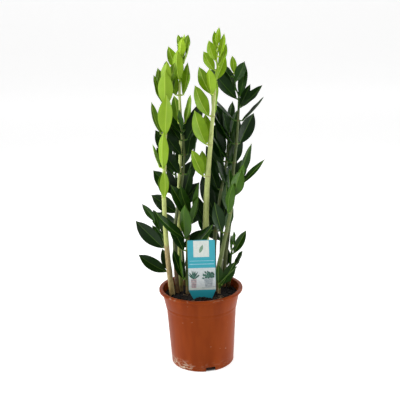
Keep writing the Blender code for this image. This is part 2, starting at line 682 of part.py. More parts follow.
def place_leaf(bearer, frond, height, leaf, stalk_foot):
    """A leaflet's points and faces, turned as little as clears all that is already there."""
    others = [tree for owner, tree in GROWN if owner != bearer]
    siblings = [tree for owner, tree in GROWN if owner == bearer]
    axis = stem_direction(frond, height)
    middle = stem_point(frond, height)
    for swing, opening in nudges():
        tip = Vector((leaf.right, leaf.back, leaf.up))
        hinge = axis.cross(tip).normalized()
        tip = Matrix.Rotation(math.radians(opening), 3, hinge) @ tip
        tip = Matrix.Rotation(math.radians(swing), 3, axis) @ tip
        outward = (tip - axis * tip.dot(axis)).normalized()
        start = middle + outward * stalk_foot
        reach = middle + tip - start
        rings, end = leaf_rings(start, outward, reach, leaf, axis, BLADE_CLEARANCE)
        blade = BVHTree.FromPolygons(*loft(rings[1:], end))
        whole = BVHTree.FromPolygons(*loft(rings, end))
        blocked = any(blade.overlap(tree) for tree in OBSTACLES + siblings)
        if not blocked and not any(whole.overlap(tree) for tree in others):
            break
    shape = loft(*leaf_rings(start, outward, reach, leaf, axis))
    GROWN.append((bearer, BVHTree.FromPolygons(*shape)))
    return shape


def joint_mesh(name, frond, height):
    """The ring that clasps the stem where a pair of leaflets joins it."""
    middle, axis = stem_point(frond, height), stem_direction(frond, height)
    inner = (stem_radius(frond, height - JOINT_HEIGHT) + FIT_GAP) / SIDE_SLACK
    across = axis.orthogonal().normalized()
    ahead = axis.cross(across)

    def ring(radius, rise):
        turns = [2 * math.pi * i / JOINT_SIDES for i in range(JOINT_SIDES)]
        return [
            middle + axis * rise + (across * math.cos(t) + ahead * math.sin(t)) * radius
            for t in turns
        ]

    half = JOINT_HEIGHT / 2
    outer = inner + JOINT_WALL
    corners = ((inner, -half), (outer, -half), (outer, half), (inner, half), (inner, -half))
    points, faces = loft([ring(*corner) for corner in corners])
    bm = bmesh.new()
    add_faces(bm, points, faces)
    bmesh.ops.remove_doubles(bm, verts=bm.verts, dist=WELD)
    return mesh_of(name, bm), inner


def join_leaves(obj, shapes):
    bm = bmesh.new()
    for points, faces in shapes:
        add_faces(bm, points, faces)
    helper = add_helper(f"{obj.name}_leaflets", mesh_of(f"{obj.name}_leaflets", bm))
    add_boolean(obj, helper, "UNION")


def make_joint(frond, number, pair):
    """A pair's joint, and what grows from it: a stalk's foot starts inside the joint's wall."""
    name = f"{frond.name}_leaflets_{number}"
    mesh, inner = joint_mesh(name, frond, pair.height)
    obj = add_object(name, mesh, f"{frond.tone}_leaf")
    return obj, frond, inner + STALK_SEAT, [(pair.height, leaf) for leaf in pair[1:]]


def make_crown(frond):
    """The stem's growing tip, and the small leaflets that are one piece with it."""
    name = f"{frond.name}_crown"
    rise = (frond.route[-1][2] - frond.crown_from) / CROWN_STEPS
    heights = [frond.crown_from + rise * i for i in range(CROWN_STEPS + 1)]
    points = [(stem_point(frond, height), stem_radius(frond, height)) for height in heights]
    obj = add_object(name, tube_mesh(name, points), f"{frond.tone}_leaf")
    return obj, frond, CROWN_FOOT, frond.crown


def obstacle_of(obj):
    mesh = obj.evaluated_get(fresh_graph()).to_mesh()
    points = [obj.matrix_world @ vertex.co / MM for vertex in mesh.vertices]
    faces = [tuple(polygon.vertices) for polygon in mesh.polygons]
    return BVHTree.FromPolygons(points, faces)


clear_scene()
PARTS = new_collection("potted_zz_plant")
HELPERS = new_collection("helpers")
CARRIER = bpy.data.objects.new("carrier", None)
PARTS.objects.link(CARRIER)
MATERIALS = {name: make_material(name, *values) for name, values in FINISHES.items()}

FIXED = [make_pot(), make_soil(FRONDS), make_tag()]
FIXED += [make_stem(frond) for frond in FRONDS]
BEARERS = [
    make_joint(frond, number, pair) for frond in FRONDS for number, pair in enumerate(frond.pairs, 1)
]
BEARERS += [make_crown(frond) for frond in FRONDS]
OBSTACLES = [obstacle_of(obj) for obj in FIXED + [bearer[0] for bearer in BEARERS]]
GROWN = []  # each leaflet placed so far, with the name of the piece that bears it

for obj, frond, foot, leaflets in BEARERS:
    shapes = [place_leaf(obj.name, frond, height, leaf, foot) for height, leaf in leaflets]
    join_leaves(obj, shapes)
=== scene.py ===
"""The looks of a potted ZZ plant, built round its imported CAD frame.

Each leaflet, stem, the pot and the soil is measured from its CAD node and remade fine, in the
same place: a leaflet from the rings of its plain blade, a stem from the rings of its plain tube.
The tag keeps its CAD shape, and flat printed shapes are laid on its front.
Units are metres, +Z is up and the front is towards -Y.
"""

import json
import math
import random
from collections import defaultdict, namedtuple
from statistics import median

import bmesh
import bpy
from mathutils import Matrix, Vector, noise

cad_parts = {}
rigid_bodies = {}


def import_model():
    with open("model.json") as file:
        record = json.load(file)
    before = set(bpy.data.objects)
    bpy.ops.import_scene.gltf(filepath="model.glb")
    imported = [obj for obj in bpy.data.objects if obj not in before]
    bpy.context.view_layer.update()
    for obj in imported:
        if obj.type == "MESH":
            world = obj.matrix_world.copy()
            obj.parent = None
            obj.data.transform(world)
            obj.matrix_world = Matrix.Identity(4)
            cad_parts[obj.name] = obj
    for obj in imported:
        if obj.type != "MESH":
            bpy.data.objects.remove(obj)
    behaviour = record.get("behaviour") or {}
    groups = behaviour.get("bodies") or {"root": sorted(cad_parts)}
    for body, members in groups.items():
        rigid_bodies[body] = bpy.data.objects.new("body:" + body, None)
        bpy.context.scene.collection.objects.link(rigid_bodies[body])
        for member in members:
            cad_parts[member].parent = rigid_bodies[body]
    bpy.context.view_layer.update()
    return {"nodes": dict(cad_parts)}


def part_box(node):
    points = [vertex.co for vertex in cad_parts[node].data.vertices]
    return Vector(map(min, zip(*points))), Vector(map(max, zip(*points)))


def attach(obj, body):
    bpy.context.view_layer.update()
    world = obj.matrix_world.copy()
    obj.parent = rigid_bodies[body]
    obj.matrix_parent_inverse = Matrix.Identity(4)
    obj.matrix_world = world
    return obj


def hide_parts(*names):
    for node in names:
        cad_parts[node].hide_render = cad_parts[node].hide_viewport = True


for leftover in list(bpy.data.objects):
    bpy.data.objects.remove(leftover)

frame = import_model()

MM = 0.001
ANY_TURN = (0, 6.3)  # radians, about a full turn

# The camera stands in front of the pot and a little above it, leaning very slightly
CAMERA_PLACE = Vector((0.0033, -1.344, 0.675))
CAMERA_PITCH = math.radians(14.0)
CAMERA_ROLL = math.radians(-1.63)
CAMERA_LENS = 63.0
CAMERA_SENSOR = 36.0

# The floor glows evenly, but not in a disc under the pot: a painted shadow there keeps the drain notches
# dark
FLOOR_GLOW = 0.7
PAINTED_SHADOW_DISC = (0.058, 0.066)
WORLD_STRENGTH = 0.2
LIGHTS_AIM = (0, 0, 0.33)
SOFTBOXES = {  # name: place, size, energy
    "softbox_left": ((-1.75, -0.42, 0.9), (0.6, 1.6), 30),
    "softbox_right": ((1.8, -0.15, 0.8), (0.5, 1.5), 20),
    "softbox_top": ((-0.3, -0.3, 2.2), (1.4, 1.0), 8),
    "softbox_front": ((-0.35, -1.5, 2.0), (1.0, 0.8), 5),
    "softbox_back": ((0.4, 1.9, 1.4), (1.6, 1.2), 5),
}

# The plain CAD solids that are measured
PLAIN_STEM_SIDES = 8
PLAIN_BLADE_SIDES = 4
PLAIN_BLADE_RINGS = 5

# Leaflets
WIDTH_STATION = 0.55
WIDTH_RING = 1  # the plain ring at that share of the blade, counted from the tip
CUP_RANGE = (0.22, 0.42)
TWIST_RANGE = (-7, 7)  # degrees
WAVE_SIZES = (0.3, 1.1)  # millimetres
WAVE_COUNTS = (1.2, 2.4)
SWAY_RANGE = (-0.025, 0.025)  # shares of the blade's length, as is the curl
CURL_RANGE = (-0.01, 0.03)
BLADE_STEPS = 26
COLUMNS = (-1, -0.94, -0.82, -0.64, -0.45, -0.27, -0.12, -0.04, 0.0)
BLADE_SKEW = 0.95
BLADE_FULLNESS = 0.8
TIP_FROM = 0.78
TIP_PINCH = 0.42
BLADE_THICKNESS = 0.55 * MM
BASE_THICKNESS = 1.5 * MM
GROOVE_DEPTH = 0.35 * MM
GROOVE_WIDTH = 1.1 * MM
STALK_RADIUS = 1.15 * MM
STALK_SIDES = 10
STALK_STEPS = 6

# Stems
CROWN_STEPS = 5
CROWN_RING_TILT = 2.0 * MM
CROWN_TIP_RADIUS = 1.0 * MM
CROWN_TIP_LENGTH = 6.0 * MM
STEM_SIDES = 20
STEM_STEP = 3.0 * MM
NODE_SWELL = 0.07
NODE_SWELL_LENGTH = 6.0 * MM
SCAR_RISE = 0.25 * MM
SCAR_LENGTH = 1.0 * MM

# The pot, as in the CAD part
LIP_WIDTH = 6.0 * MM
LIP_HEIGHT = 5.0 * MM
LIP_ROUND = 1.4 * MM
POT_WALL = 1.8 * MM
COLLAR_HEIGHT = 36.0 * MM
COLLAR_TAPER = 7.2 * MM
COLLAR_STEP = 0.9 * MM
COLLAR_SLOPE = 2.0 * MM
BASE_RADIUS = 64.0 * MM
FOOT_ROUND = 1.2 * MM
FOOT_DISC_RADIUS = 42.0 * MM
CHANNEL_HEIGHT = 10.5 * MM
NOTCH_WIDTH = 20.0 * MM
NOTCH_HEIGHT = 9.2 * MM
NOTCH_CORNER = 2.6 * MM
DRAIN_TURN = math.radians(-76)
DRAIN_COUNT = 3
DRAIN_HOLE_RADIUS = 4.5 * MM
POT_SEGMENTS = 144

# The soil
SOIL_SEGMENTS = 220
SOIL_CIRCLES = 75
CRUMB_COUNT = 620
FIBRE_COUNT = 26
FIBRES_BY_TAG = 8

Blade = namedtuple("Blade", "base tip side face half bow")
Axis = namedtuple("Axis", "points radii")


# ---- Small tools ----


def smoothstep(low, high, value):
    share = min(max((value - low) / (high - low), 0.0), 1.0)
    return share * share * (3 - 2 * share)


def new_object(name, bm, *materials, smooth=True):
    mesh = bpy.data.meshes.new(name)
    bmesh.ops.recalc_face_normals(bm, faces=bm.faces)
    bm.to_mesh(mesh)
    bm.free()
    for material in materials:
        mesh.materials.append(material)
    obj = bpy.data.objects.new(name, mesh)
    bpy.context.scene.collection.objects.link(obj)
    if smooth:
        mesh.shade_smooth()
    return obj


def bridge(bm, rings, count):
    """Joins rings of count points each, or of a single point, into a wall of faces."""
    for one, other in zip(rings, rings[1:]):
        for k in range(count):
            n = (k + 1) % count
            low = [one[k % len(one)], one[n % len(one)]]
            high = [other[n % len(other)], other[k % len(other)]]
            bm.faces.new(list(dict.fromkeys(low + high)))


def prism(bm, near, far):
    """Closes two outlines of the same count into a solid."""
    bm.faces.new(near[::-1])
    bm.faces.new(far)
    bridge(bm, [near, far], len(near))


def settle(obj, slot, *nodes):
    """The piece rides on the plant's one body and stands for CAD nodes; slot is not used."""
    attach(obj, "root")
    if nodes:
        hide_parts(*nodes)
    return obj


# ---- Reading the frame ----


def welded(node):
    """A node's points, each kept once, and the neighbours of each."""
    mesh = frame["nodes"][node].data
    index, points, which = {}, [], []
    for vertex in mesh.vertices:
        key = tuple(round(value * 1e6) for value in vertex.co)
        if key not in index:
            index[key] = len(points)
            points.append(vertex.co.copy())
        which.append(index[key])
    links = defaultdict(set)
    for polygon in mesh.polygons:
        corners = [which[i] for i in polygon.vertices]
        for one, other in zip(corners, corners[1:] + corners[:1]):
            if one != other:
                links[one].add(other)
                links[other].add(one)
    return points, links


def rings_from(start, links, size):
    """The rings of points met one step at a time from a start, while each holds size points."""
    seen, ring, rings = set(start), set(start), []
    while True:
        ring = {other for one in ring for other in links[one]} - seen
        if len(ring) != size:
            return rings
        seen |= ring
        rings.append(sorted(ring))


def middle_of(points):
    return sum(points, Vector()) / len(points)


def ring_cross(ring):
    """A blade ring's two edge points and the two of its middle line."""
    pairs = [(i, j) for i in range(PLAIN_BLADE_SIDES) for j in range(i)]
    wide = max(pairs, key=lambda pair: (ring[pair[0]] - ring[pair[1]]).length)
    return [ring[i] for i in wide], [ring[i] for i in range(PLAIN_BLADE_SIDES) if i not in wide]


def outline_share(t):
    return math.sin(math.pi * t**BLADE_SKEW) ** BLADE_FULLNESS


def blade_of(tip, rings):
    edges, spine = ring_cross(rings[WIDTH_RING])
    lift = middle_of(edges) - middle_of(spine)
    base = middle_of(rings[PLAIN_BLADE_RINGS - 1])
    chord = (tip - base).normalized()
    side = edges[0] - edges[1]
    half = side.length / 2 / outline_share(WIDTH_STATION)
    side = (side - chord * side.dot(chord)).normalized()
    face = side.cross(chord)
    if face.dot(lift) < 0:
        side, face = -side, -face
    sag = (base + (tip - base) * WIDTH_STATION - middle_of(spine)).dot(face)
    bow = sag / math.sin(math.pi * WIDTH_STATION)
    return Blade(base, tip, side, face, half, bow)


def blades_in(node):
    """The plain blades of a node, lowest first, and the points that aren't part of one."""
    points, links = welded(node)
    found, used = [], set()
    for start in range(len(points)):
        if len(links[start]) != PLAIN_BLADE_SIDES:
            continue
        rings = rings_from([start], links, PLAIN_BLADE_SIDES)
        if len(rings) < PLAIN_BLADE_RINGS:
            continue
        found.append(blade_of(points[start], [[points[i] for i in ring] for ring in rings]))
        used |= {start} | {i for ring in rings[:PLAIN_BLADE_RINGS] for i in ring}
    rest = [point for i, point in enumerate(points) if i not in used]
    return sorted(found, key=lambda blade: blade.base.z), rest


def stem_axis(node):
    """The middle line and radii of a plain stem, from its foot up."""
    points, links = welded(node)
    foot = sorted(range(len(points)), key=lambda i: points[i].z)[:PLAIN_STEM_SIDES]
    rings = [foot] + rings_from(foot, links, PLAIN_STEM_SIDES)
    middles = [middle_of([points[i] for i in ring]) for ring in rings]
    radii = [
        sum((points[i] - middle).length for i in ring) / len(ring)
        for ring, middle in zip(rings, middles)
    ]
    return Axis(middles, radii)


def crown_axis(stem, rest):
    """The stem's line carried on through the crown's tube to its end."""
    rest = sorted(rest, key=lambda point: point.z)
    low, end = stem.points[-1], middle_of(rest[-PLAIN_STEM_SIDES:])
    points = []
    for ring in range(1, CROWN_STEPS):
        z = low.z + (end.z - low.z) * ring / CROWN_STEPS
        near = [p for p in rest if abs(p.z - z) < CROWN_RING_TILT]
        if len(near) > 5:
            middle = (median(p.x for p in near), median(p.y for p in near), z)
            points.append(Vector(middle))
    points = [low] + points + [end]
    last = stem.radii[-1]
    narrowing = (CROWN_TIP_RADIUS - last) / (len(points) - 1)
    radii = [last + narrowing * i for i in range(len(points))]
    return Axis(points, radii)


def nearest(axis, point):
    """The nearest place on an axis's line: (the point there, its radius, the direction)."""
    best = None
    for i in range(len(axis.points) - 1):
        start, step = axis.points[i], axis.points[i + 1] - axis.points[i]
        share = min(max((point - start).dot(step) / step.length_squared, 0), 1)
        at = start + step * share
        radius = axis.radii[i] + (axis.radii[i + 1] - axis.radii[i]) * share
        if best is None or (point - at).length < (point - best[0]).length:
            best = (at, radius, step.normalized())
    return best


# ---- Leaflets ----


def fine_share(t):
    """A leaflet's half width as a share of the widest: the plain outline, drawn to a point."""
    return outline_share(t) * (1 - TIP_PINCH * smoothstep(TIP_FROM, 1, t) ** 2)


def blade_surface(blade, draw):
    """A function of (across, along) that gives the blade's upper and lower points."""
    chord = blade.tip - blade.base
    length = chord.length
    cup = draw.uniform(*CUP_RANGE)
    twist = math.radians(draw.uniform(*TWIST_RANGE))
    wave_size = draw.uniform(*WAVE_SIZES) * MM
    wave_turn = draw.uniform(*ANY_TURN)
    waves = draw.uniform(*WAVE_COUNTS)
    sway = draw.uniform(*SWAY_RANGE) * length
    curl = draw.uniform(*CURL_RANGE) * length

    def surface(across, along):
        half = math.hypot(fine_share(along) * blade.half, STALK_RADIUS * (1 - smoothstep(0, 0.12, along)))
        turn = twist * math.sin(math.pi * along)
        side = blade.side * math.cos(turn) + blade.face * math.sin(turn)
        face = blade.face * math.cos(turn) - blade.side * math.sin(turn)
        middle = blade.base + chord * along
        middle = middle - blade.face * (blade.bow * math.sin(math.pi * along))
        middle = middle + blade.side * (sway * math.sin(math.pi * along))
        middle = middle - blade.face * (curl * smoothstep(0.55, 1, along) * (1 - along) * 4)
        reach = across * half
        fold = cup * half * (math.hypot(across, 0.12) - 0.12)
        edge = abs(across) ** 2 * math.sin(math.pi * along)
        wave = wave_size * edge * math.sin(waves * 2 * math.pi * along + wave_turn + across)
        rib = math.exp(-((reach / GROOVE_WIDTH) ** 2)) * (1 - along) ** 0.5
        thick = BLADE_THICKNESS + (BASE_THICKNESS - BLADE_THICKNESS) * (1 - smoothstep(0, 0.2, along))
        thick *= 1 - abs(across) ** 4
        upper = middle + side * reach + face * (fold + wave - GROOVE_DEPTH * rib)
        lower = upper - face * (thick + 2.2 * GROOVE_DEPTH * rib)
        return upper, lower

    return surface, length


def add_blade(bm, blade, draw, tone):
    """Adds one leaflet's closed blade, with its own coordinates in the mesh's attributes."""
    surface, length = blade_surface(blade, draw)
    columns = [*COLUMNS, *(-x for x in reversed(COLUMNS[:-1]))]
    place, look = bm.verts.layers.float_vector["leaf_place"], bm.verts.layers.float_vector["leaf_look"]
    chance = draw.random()

    def vertex(co, across, along, under):
        made = bm.verts.new(co)
        made[place] = (across * fine_share(along) * blade.half / MM, along * length / MM, chance * 50)
        made[look] = (chance, tone, under)
        return made

    uppers, lowers = [], []
    for step in range(BLADE_STEPS):
        along = 1 - (1 - step / BLADE_STEPS) ** 1.15
        upper_row, lower_row = [], []
        for across in columns:
            upper, lower = surface(across, along)
            upper_row.append(vertex(upper, across, along, 0))
            edge = abs(across) == 1
            lower_row.append(upper_row[-1] if edge else vertex(lower, across, along, 1))
        uppers.append(upper_row)
        lowers.append(lower_row)
    for rows, flip in ((uppers, False), (lowers, True)):
        for one, other in zip(rows, rows[1:]):
            for i in range(len(columns) - 1):
                corners = [one[i], one[i + 1], other[i + 1], other[i]]
                bm.faces.new(corners[::-1] if flip else corners)
    tip = vertex(surface(0, 1)[0], 0, 1, 0)
    for row, flip in ((uppers[-1], False), (lowers[-1], True)):
        for i in range(len(columns) - 1):
            corners = [row[i], row[i + 1], tip]
            bm.faces.new(corners[::-1] if flip else corners)
    for i in range(len(columns) - 1):
        corners = [uppers[0][i], lowers[0][i], lowers[0][i + 1], uppers[0][i + 1]]
        corners = list(dict.fromkeys(corners))
        bm.faces.new(corners)


def add_stalk(bm, blade, axis, draw):
    """Adds the short swollen stalk between the stem and the blade."""
    at, radius, up = nearest(axis, blade.base)
    outward = (blade.base - at).normalized()
    chord = (blade.tip - blade.base).normalized()
    start = at + outward * radius * 0.6 - up * 0.6 * MM
    inside = blade.base + chord * 2.5 * MM - blade.face * (0.9 * MM)
    bend = (start - inside).length * 0.5
    one, other = start + (outward + up * 0.25).normalized() * bend, inside - chord * bend
    place, look = bm.verts.layers.float_vector["leaf_place"], bm.verts.layers.float_vector["leaf_look"]
    rings, chance = [], draw.random()
    for step in range(STALK_STEPS + 1):
        t = step / STALK_STEPS
        point = (
            start * (1 - t) ** 3 + one * 3 * t * (1 - t) ** 2
            + other * 3 * t * t * (1 - t) + inside * t**3
        )
        ahead = (one - start) * (1 - t) ** 2 + (other - one) * 2 * t * (1 - t) + (inside - other) * t * t
        ahead.normalize()
        side = (blade.side - ahead * blade.side.dot(ahead)).normalized()
        face = side.cross(ahead)
        size = STALK_RADIUS * (1 + 0.75 * (1 - smoothstep(0, 0.55, t)) - 0.25 * smoothstep(0.6, 1, t))
        ring = []
        for k in range(STALK_SIDES):
            turn = 2 * math.pi * k / STALK_SIDES
            made = bm.verts.new(point + side * math.cos(turn) * size * 1.1 + face * math.sin(turn) * size)
            made[place] = (math.cos(turn), t * 6, chance * 50)
            made[look] = (chance, 0.5, -1 - t)
            ring.append(made)
        rings.append(ring)
    bridge(bm, rings, STALK_SIDES)
    bm.faces.new(rings[0][::-1])
    bm.faces.new(rings[-1])


def leaf_mesh():
    bm = bmesh.new()
    bm.verts.layers.float_vector.new("leaf_place")
    bm.verts.layers.float_vector.new("leaf_look")
    return bm


def make_leaves(name, node, axis, blades, material, tone):
    bm = leaf_mesh()
    for number, blade in enumerate(blades):
        draw = random.Random(f"{node} {number}")
        add_blade(bm, blade, draw, tone)
        add_stalk(bm, blade, axis, draw)
    return new_object(name, bm, material)


# ---- Stems ----


def smooth_line(axis, step):
    """Points and radii at even steps on a smooth curve through an axis's points."""
    points, radii = axis.points, axis.radii
    out = []
    for i in range(len(points) - 1):
        before, after = points[max(i - 1, 0)], points[min(i + 2, len(points) - 1)]
        span = (points[i + 1] - points[i]).length
        rise_one = (points[i + 1] - before).normalized() * span
        rise_two = (after - points[i]).normalized() * span
        count = max(1, round(span / step))
        for k in range(count + (i == len(points) - 2)):
            t = k / count
            point = (
                points[i] * (2 * t**3 - 3 * t**2 + 1)
                + rise_one * (t**3 - 2 * t**2 + t)
                + points[i + 1] * (3 * t**2 - 2 * t**3)
                + rise_two * (t**3 - t**2)
            )
            out.append((point, radii[i] + (radii[i + 1] - radii[i]) * t))
    return out


def add_tube(bm, line, draw, nodes=(), close=0.0, sheath_top=0.0):
    """Adds a round living stem along (point, radius) pairs, swollen and scarred at its nodes.

    close narrows the last stretch, in metres, to a soft tip. The papery sheath round the foot ends
    at the height sheath_top.
    """
    place, look = bm.verts.layers.float_vector["leaf_place"], bm.verts.layers.float_vector["leaf_look"]
    ridge_turn = draw.uniform(*ANY_TURN)
    end = line[-1][0]
    rings, along, before = [], 0.0, line[0][0]
    side = Vector((1, 0, 0))
    for i, (point, radius) in enumerate(line):
        ahead = (line[min(i + 1, len(line) - 1)][0] - line[max(i - 1, 0)][0]).normalized()
        side = (side - ahead * side.dot(ahead)).normalized()
        face = ahead.cross(side)
        along += (point - before).length
        before = point
        scar = 0.0
        for node in nodes:
            away = (point - node).length
            radius *= 1 + NODE_SWELL * math.exp(-((away / NODE_SWELL_LENGTH) ** 2))
            scar = max(scar, math.exp(-((away / SCAR_LENGTH) ** 2)))
        radius += SCAR_RISE * scar
        if close:
            radius *= smoothstep(-0.15 * close, close, (end - point).length) ** 0.5
        ring = []
        for k in range(STEM_SIDES):
            turn = 2 * math.pi * k / STEM_SIDES
            bump = 1 + 0.018 * math.cos(3 * turn + ridge_turn + along * 9)
            bump += 0.02 * noise.noise(point * 90 + Vector((math.cos(turn), math.sin(turn), 0)) * 0.6)
            made = bm.verts.new(point + (side * math.cos(turn) + face * math.sin(turn)) * radius * bump)
            made[place] = (k / STEM_SIDES, along, draw.random() * 0.001)
            made[look] = (scar, point.z, point.z - sheath_top)
            ring.append(made)
        rings.append(ring)
    bridge(bm, rings, STEM_SIDES)
    bm.faces.new(rings[0][::-1])
    bm.faces.new(rings[-1])


def with_node_points(line, nodes):
    """The line with extra points close to each node, so that its narrow scar has a shape."""
    out = []
    for one, other in zip(line, line[1:]):
        out.append(one)
        near = any((one[0] - node).length < 2.2 * STEM_STEP for node in nodes)
        if near:
            for share in (0.2, 0.4, 0.6, 0.8):
                out.append((one[0].lerp(other[0], share), one[1] + (other[1] - one[1]) * share))
    return out + [line[-1]]


def make_stem(frond, axis, nodes, material):
    bm = leaf_mesh()
    line = with_node_points(smooth_line(axis, STEM_STEP), nodes)
    sheath_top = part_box("soil")[1].z + SHEATH_HEIGHTS.get(frond, PLAIN_SHEATH)
    add_tube(bm, line, random.Random(frond), nodes, sheath_top=sheath_top)
    return new_object(f"{frond}_stem_skin", bm, material)


# ---- Whole fronds ----

TONES = {"young": "young", "old": "old", "left": "old", "right": "middle", "centre": "middle"}
# Shifts of each frond's leaf tone, higher being darker: the three back fronds are darkened as painted shade,
# the rest are shifted in tone
AGE_AND_SHADE_SHIFTS = {"young_centre": -0.3, "young_left": 0.5, "centre_middle": 0.2, "old_behind": 0.35,
              "old_left_back": 0.35, "old_right_back": 0.35}
LIME_TIPS = {"old_right_tall"}
SHEATH_HEIGHTS = {"young_left": 108 * MM, "old_left_tall": 66 * MM, "left_low": 40 * MM}
PLAIN_SHEATH = 14 * MM


def make_frond(frond):
    tone = TONES[frond.split("_")[0]]
    leaf, stem_skin = MATERIALS[f"{tone}_leaf"], MATERIALS[f"{tone}_stem"]
    stem = stem_axis(f"{frond}_stem")
    pairs = [name for name in sorted(frame["nodes"]) if name.startswith(f"{frond}_leaflets_")]
    found = {node: blades_in(node)[0] for node in pairs}
    joints = [nearest(stem, middle_of([blade.base for blade in found[node]]))[0] for node in pairs]
    settle(make_stem(frond, stem, joints, stem_skin), f"{tone}_stem", f"{frond}_stem")
    for number, node in enumerate(pairs, 1):
        # The frond's shift adds painted shade on the back fronds
        age_and_shade = 1 - 0.25 * number / len(pairs) + AGE_AND_SHADE_SHIFTS.get(frond, 0)
        piece = make_leaves(f"{frond}_pair_{number}", node, stem, found[node], leaf, age_and_shade)
        settle(piece, f"{tone}_leaf", node)
    make_crown(frond, tone, stem)


def make_crown(frond, tone, stem):
    """The growing tip and its leaflets, the topmost lime green where it has only just opened."""
    node = f"{frond}_crown"
    blades, rest = blades_in(node)
    crown = crown_axis(stem, rest)
    # The same shift: painted shade on the back fronds
    shift = AGE_AND_SHADE_SHIFTS.get(frond, 0)
    tones = [0.55 - 0.45 * i / max(len(blades) - 1, 1) + shift for i in range(len(blades))]
    whole, lime = leaf_mesh(), leaf_mesh()
    for number, blade in enumerate(blades):
        draw = random.Random(f"{node} {number}")
        newest = frond in LIME_TIPS and blade is blades[-1]
        bm = lime if newest else whole
        add_blade(bm, blade, draw, tones[number])
        add_stalk(bm, blade, crown, draw)
    add_tube(whole, smooth_line(crown, STEM_STEP / 2), random.Random(node), close=CROWN_TIP_LENGTH)
    settle(new_object(f"{frond}_tip", whole, MATERIALS[f"{tone}_leaf"]), f"{tone}_leaf", node)
    if frond in LIME_TIPS:
        settle(new_object(f"{frond}_newest_leaf", lime, MATERIALS["young_leaf"]), "young_leaf")
    else:
        lime.free()


# ---- The pot ----


def arc(middle, radius, start, end, count):
    turns = [math.radians(start + (end - start) * i / (count - 1)) for i in range(count)]
    return [(middle[0] + radius * math.cos(t), middle[1] + radius * math.sin(t)) for t in turns]


def groove(low, high, at, depth, width):
    """Points of a faint moulded line round a sloping wall, between two (radius, height) ends."""
    def wall(height, inward=0.0):
        share = (height - low[1]) / (high[1] - low[1])
        return (low[0] + (high[0] - low[0]) * share - inward, height)
    return [wall(at + width), wall(at + width * 0.3, depth), wall(at - width * 0.3, depth), wall(at - width)]


def pot_profile(rim, height):
    """The pot's section, from the middle of its inside, over the lip and down to its foot."""
    collar_top = rim - LIP_WIDTH
    shoulder = collar_top - COLLAR_TAPER
    below = height - LIP_HEIGHT - COLLAR_HEIGHT
    inner_top = collar_top - POT_WALL
    inner_base = BASE_RADIUS - POT_WALL
    floor_top = CHANNEL_HEIGHT + POT_WALL
    lip = rim - LIP_ROUND
    collar_low, collar_high = (shoulder, below), (collar_top, height - LIP_HEIGHT)
    wall_top = (shoulder - COLLAR_STEP, below - COLLAR_SLOPE)
    wall_low = (BASE_RADIUS, FOOT_ROUND)
    return [
        (0, POT_WALL),
        (FOOT_DISC_RADIUS - POT_WALL, POT_WALL),
        (FOOT_DISC_RADIUS - POT_WALL, floor_top),
        (inner_base, floor_top),
        (wall_top[0] - POT_WALL, wall_top[1]),
        (shoulder - POT_WALL, below),
        *arc((inner_top + LIP_ROUND, height - LIP_ROUND), LIP_ROUND, 180, 90, 7),
        *arc((lip, height - LIP_ROUND), LIP_ROUND, 90, 0, 7),
        *arc((lip, height - LIP_HEIGHT + LIP_ROUND), LIP_ROUND, 0, -90, 7),
        *arc((collar_top + 1.2 * MM, height - LIP_HEIGHT - 1.2 * MM), 1.2 * MM, 90, 180, 5),
        *groove(collar_low, collar_high, below + 6 * MM, 0.25 * MM, 0.8 * MM),
        (shoulder + 0.1 * MM, below + 0.4 * MM),
        (shoulder - 0.25 * MM, below - 0.4 * MM),
        (wall_top[0] + 0.25 * MM, wall_top[1] + 0.5 * MM),
        (wall_top[0] - 0.02 * MM, wall_top[1] - 0.6 * MM),
        *groove(wall_low, wall_top, 7 * MM, 0.15 * MM, 0.7 * MM),
        *arc((BASE_RADIUS - FOOT_ROUND, FOOT_ROUND), FOOT_ROUND, 0, -80, 5),
        (BASE_RADIUS - POT_WALL, 0),
        (BASE_RADIUS - POT_WALL, CHANNEL_HEIGHT),
        (FOOT_DISC_RADIUS, CHANNEL_HEIGHT),
        (FOOT_DISC_RADIUS, 0.8 * MM),
        (FOOT_DISC_RADIUS - 0.8 * MM, 0),
        (0, 0),
    ]


def turned_mesh(profile, segments):
    """A closed mesh turned about Z from (radius, height) points that end on the axis."""
    bm = bmesh.new()
    rings = []
    for radius, height in profile:
        if radius == 0:
            rings.append([bm.verts.new((0, 0, height))])
            continue
        turns = [2 * math.pi * k / segments for k in range(segments)]
        rings.append([bm.verts.new((radius * math.cos(t), radius * math.sin(t), height)) for t in turns])
    bridge(bm, rings, segments)
    return bm


def drain_cutter():
    """An arched notch through the foot ring and a round hole up through it, at each drain."""
    bm = bmesh.new()
    half, top = NOTCH_WIDTH / 2, NOTCH_HEIGHT
    outline = [(-half, -5 * MM), (half, -5 * MM)]
    outline += arc((half - NOTCH_CORNER, top - NOTCH_CORNER), NOTCH_CORNER, 0, 90, 6)
    outline += arc((-half + NOTCH_CORNER, top - NOTCH_CORNER), NOTCH_CORNER, 90, 180, 6)
    for i in range(DRAIN_COUNT):
        turn = Matrix.Rotation(DRAIN_TURN + 2 * math.pi * i / DRAIN_COUNT, 4, "Z")
        near = [bm.verts.new(turn @ Vector((BASE_RADIUS - 6 * MM, y, z))) for y, z in outline]
        far = [bm.verts.new(turn @ Vector((BASE_RADIUS + 6 * MM, y, z))) for y, z in outline]
        prism(bm, near, far)
        middle = (FOOT_DISC_RADIUS + BASE_RADIUS - POT_WALL) / 2
        hole = Matrix.Translation((middle, 0, CHANNEL_HEIGHT + POT_WALL / 2))
        bmesh.ops.create_cone(
            bm, cap_ends=True, segments=24, radius1=DRAIN_HOLE_RADIUS,
            radius2=DRAIN_HOLE_RADIUS, depth=4 * POT_WALL, matrix=turn @ hole,
        )
    return new_object("drain_cutter", bm, smooth=False)


